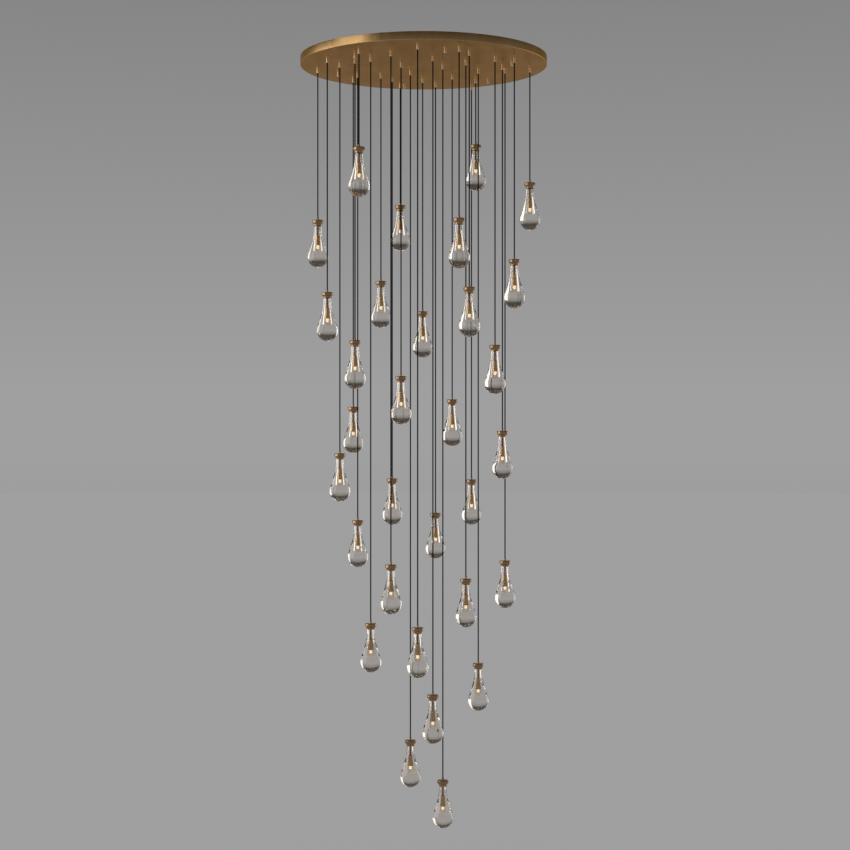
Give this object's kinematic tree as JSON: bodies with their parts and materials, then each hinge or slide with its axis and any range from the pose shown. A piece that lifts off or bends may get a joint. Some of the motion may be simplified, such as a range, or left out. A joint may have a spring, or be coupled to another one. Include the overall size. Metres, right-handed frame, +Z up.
{
  "type": "glass chandelier",
  "caption": "Round brass ceiling canopy from which hollow glass drops, each with a small lamp inside, hang on black cords of staggered lengths.",
  "frame": {"origin": "on the ceiling plane, above the middle of the canopy, at the centre of the ceiling bolt circle", "axes": "+Z up into the ceiling, +X to the right as seen in the picture, +Y away from the viewer"},
  "size_m": [0.9999, 1, 3.117],
  "materials": {
    "aged_brass": "brushed, aged",
    "zinc_steel": "zinc plated",
    "black_cord": "braided",
    "black_plastic": "matte",
    "pale_plastic": "matte",
    "black_rubber": "matte",
    "clear_glass": "polished"
  },
  "bodies": {
    "canopy": {"canopy_plate": "aged_brass", "canopy_rim": "aged_brass", "canopy_nuts": "aged_brass", "cord_grips": "aged_brass", "ceiling_bracket": "zinc_steel", "bracket_studs": "zinc_steel", "stud_washers": "zinc_steel", "stud_nuts": "zinc_steel", "grip_washers": "zinc_steel", "grip_nuts": "zinc_steel", "driver_screws": "zinc_steel", "terminal_screws": "zinc_steel", "earth_stud": "zinc_steel", "earth_nut": "zinc_steel", "cord_tails": "black_cord", "cord_stops": "black_plastic", "lead_connectors": "black_plastic", "terminal_strips": "pale_plastic", "led_driver_1": "pale_plastic", "led_driver_2": "pale_plastic", "led_driver_3": "pale_plastic", "supply_grommet": "black_rubber"},
    "pendant_01": {"pendant_01": "clear_glass"},
    "pendant_02": {"pendant_02": "clear_glass"},
    "pendant_03": {"pendant_03": "clear_glass"},
    "pendant_04": {"pendant_04": "clear_glass"},
    "pendant_05": {"pendant_05": "clear_glass"},
    "pendant_06": {"pendant_06": "clear_glass"},
    "pendant_07": {"pendant_07": "clear_glass"},
    "pendant_08": {"pendant_08": "clear_glass"},
    "pendant_09": {"pendant_09": "clear_glass"},
    "pendant_10": {"pendant_10": "clear_glass"},
    "pendant_11": {"pendant_11": "clear_glass"},
    "pendant_12": {"pendant_12": "clear_glass"},
    "pendant_13": {"pendant_13": "clear_glass"},
    "pendant_14": {"pendant_14": "clear_glass"},
    "pendant_15": {"pendant_15": "clear_glass"},
    "pendant_16": {"pendant_16": "clear_glass"},
    "pendant_17": {"pendant_17": "clear_glass"},
    "pendant_18": {"pendant_18": "clear_glass"},
    "pendant_19": {"pendant_19": "clear_glass"},
    "pendant_20": {"pendant_20": "clear_glass"},
    "pendant_21": {"pendant_21": "clear_glass"},
    "pendant_22": {"pendant_22": "clear_glass"},
    "pendant_23": {"pendant_23": "clear_glass"},
    "pendant_24": {"pendant_24": "clear_glass"},
    "pendant_25": {"pendant_25": "clear_glass"},
    "pendant_26": {"pendant_26": "clear_glass"},
    "pendant_27": {"pendant_27": "clear_glass"},
    "pendant_28": {"pendant_28": "clear_glass"},
    "pendant_29": {"pendant_29": "clear_glass"},
    "pendant_30": {"pendant_30": "clear_glass"},
    "pendant_31": {"pendant_31": "clear_glass"}
  },
  "joints": [
    {"name": "swing_01", "type": "hinge", "parent": "canopy", "child": "pendant_01", "pos_m": [-0.25025, -0.3367, -0.053], "axis": [0.5, -0.866, 0], "range_deg": [-5, 5]},
    {"name": "swing_02", "type": "hinge", "parent": "canopy", "child": "pendant_02", "pos_m": [0.2184, 0.2457, -0.053], "axis": [0.5, -0.866, 0], "range_deg": [-5, 5]},
    {"name": "swing_03", "type": "hinge", "parent": "canopy", "child": "pendant_03", "pos_m": [0.43225, 0.0182, -0.053], "axis": [0.5, -0.866, 0], "range_deg": [-5, 5]},
    {"name": "swing_04", "type": "hinge", "parent": "canopy", "child": "pendant_04", "pos_m": [-0.43225, 0.0364, -0.053], "axis": [0.5, -0.866, 0], "range_deg": [-5, 5]},
    {"name": "swing_05", "type": "hinge", "parent": "canopy", "child": "pendant_05", "pos_m": [-0.1001, 0.35945, -0.053], "axis": [0.5, -0.866, 0], "range_deg": [-5, 5]},
    {"name": "swing_06", "type": "hinge", "parent": "canopy", "child": "pendant_06", "pos_m": [0.1365, -0.37765, -0.053], "axis": [0.5, -0.866, 0], "range_deg": [-5, 3.5]},
    {"name": "swing_07", "type": "hinge", "parent": "canopy", "child": "pendant_07", "pos_m": [0.35945, -0.1729, -0.053], "axis": [0.5, -0.866, 0], "range_deg": [-2, 5]},
    {"name": "swing_08", "type": "hinge", "parent": "canopy", "child": "pendant_08", "pos_m": [-0.3822, -0.16835, -0.053], "axis": [0.5, -0.866, 0], "range_deg": [-5, 4]},
    {"name": "swing_09", "type": "hinge", "parent": "canopy", "child": "pendant_09", "pos_m": [-0.17745, 0.15015, -0.053], "axis": [0.5, -0.866, 0], "range_deg": [-3, 2]},
    {"name": "swing_10", "type": "hinge", "parent": "canopy", "child": "pendant_10", "pos_m": [0.17745, -0.30485, -0.053], "axis": [0.5, -0.866, 0], "range_deg": [-3.5, 5]},
    {"name": "swing_11", "type": "hinge", "parent": "canopy", "child": "pendant_11", "pos_m": [-0.00455, 0.24115, -0.053], "axis": [0.5, -0.866, 0], "range_deg": [-5, 5]},
    {"name": "swing_12", "type": "hinge", "parent": "canopy", "child": "pendant_12", "pos_m": [-0.273, -0.1547, -0.053], "axis": [0.5, -0.866, 0], "range_deg": [-4, 5]},
    {"name": "swing_13", "type": "hinge", "parent": "canopy", "child": "pendant_13", "pos_m": [0.2821, -0.1911, -0.053], "axis": [0.5, -0.866, 0], "range_deg": [-5, 2]},
    {"name": "swing_14", "type": "hinge", "parent": "canopy", "child": "pendant_14", "pos_m": [-0.091, -0.07735, -0.053], "axis": [0.5, -0.866, 0], "range_deg": [-5, 5]},
    {"name": "swing_15", "type": "hinge", "parent": "canopy", "child": "pendant_15", "pos_m": [0.1183, 0.16835, -0.053], "axis": [0.5, -0.866, 0], "range_deg": [-5, 5]},
    {"name": "swing_16", "type": "hinge", "parent": "canopy", "child": "pendant_16", "pos_m": [-0.29575, 0.2366, -0.053], "axis": [0.5, -0.866, 0], "range_deg": [-5, 5]},
    {"name": "swing_17", "type": "hinge", "parent": "canopy", "child": "pendant_17", "pos_m": [0.3185, -0.0273, -0.053], "axis": [0.5, -0.866, 0], "range_deg": [-4.5, 5]},
    {"name": "swing_18", "type": "hinge", "parent": "canopy", "child": "pendant_18", "pos_m": [-0.3367, -0.07735, -0.053], "axis": [0.5, -0.866, 0], "range_deg": [-5, 5]},
    {"name": "swing_19", "type": "hinge", "parent": "canopy", "child": "pendant_19", "pos_m": [-0.13195, 0.2184, -0.053], "axis": [0.5, -0.866, 0], "range_deg": [-2, 4.5]},
    {"name": "swing_20", "type": "hinge", "parent": "canopy", "child": "pendant_20", "pos_m": [0.20475, 0.40495, -0.053], "axis": [0.5, -0.866, 0], "range_deg": [-3, 5]},
    {"name": "swing_21", "type": "hinge", "parent": "canopy", "child": "pendant_21", "pos_m": [0.05005, 0.3367, -0.053], "axis": [0.5, -0.866, 0], "range_deg": [-4.5, 3]},
    {"name": "swing_22", "type": "hinge", "parent": "canopy", "child": "pendant_22", "pos_m": [-0.273, 0.13195, -0.053], "axis": [0.5, -0.866, 0], "range_deg": [-5, 3]},
    {"name": "swing_23", "type": "hinge", "parent": "canopy", "child": "pendant_23", "pos_m": [-0.1274, -0.29575, -0.053], "axis": [0.5, -0.866, 0], "range_deg": [-5, 3.5]},
    {"name": "swing_24", "type": "hinge", "parent": "canopy", "child": "pendant_24", "pos_m": [0.16835, -0.12285, -0.053], "axis": [0.5, -0.866, 0], "range_deg": [-2.5, 4.5]},
    {"name": "swing_25", "type": "hinge", "parent": "canopy", "child": "pendant_25", "pos_m": [0.33215, 0.04095, -0.053], "axis": [0.5, -0.866, 0], "range_deg": [-4.5, 5]},
    {"name": "swing_26", "type": "hinge", "parent": "canopy", "child": "pendant_26", "pos_m": [-0.2093, -0.1911, -0.053], "axis": [0.5, -0.866, 0], "range_deg": [-5, 5]},
    {"name": "swing_27", "type": "hinge", "parent": "canopy", "child": "pendant_27", "pos_m": [-0.02275, -0.4186, -0.053], "axis": [0.5, -0.866, 0], "range_deg": [-5, 5]},
    {"name": "swing_28", "type": "hinge", "parent": "canopy", "child": "pendant_28", "pos_m": [0.22295, 0.0455, -0.053], "axis": [0.5, -0.866, 0], "range_deg": [-2.5, 5]},
    {"name": "swing_29", "type": "hinge", "parent": "canopy", "child": "pendant_29", "pos_m": [0.0364, -0.20475, -0.053], "axis": [0.5, -0.866, 0], "range_deg": [-3.5, 2.5]},
    {"name": "swing_30", "type": "hinge", "parent": "canopy", "child": "pendant_30", "pos_m": [-0.0546, 0.0819, -0.053], "axis": [0.5, -0.866, 0], "range_deg": [-5, 5]},
    {"name": "swing_31", "type": "hinge", "parent": "canopy", "child": "pendant_31", "pos_m": [0.07735, -0.04095, -0.053], "axis": [0.5, -0.866, 0], "range_deg": [-5, 2.5]}
  ]
}
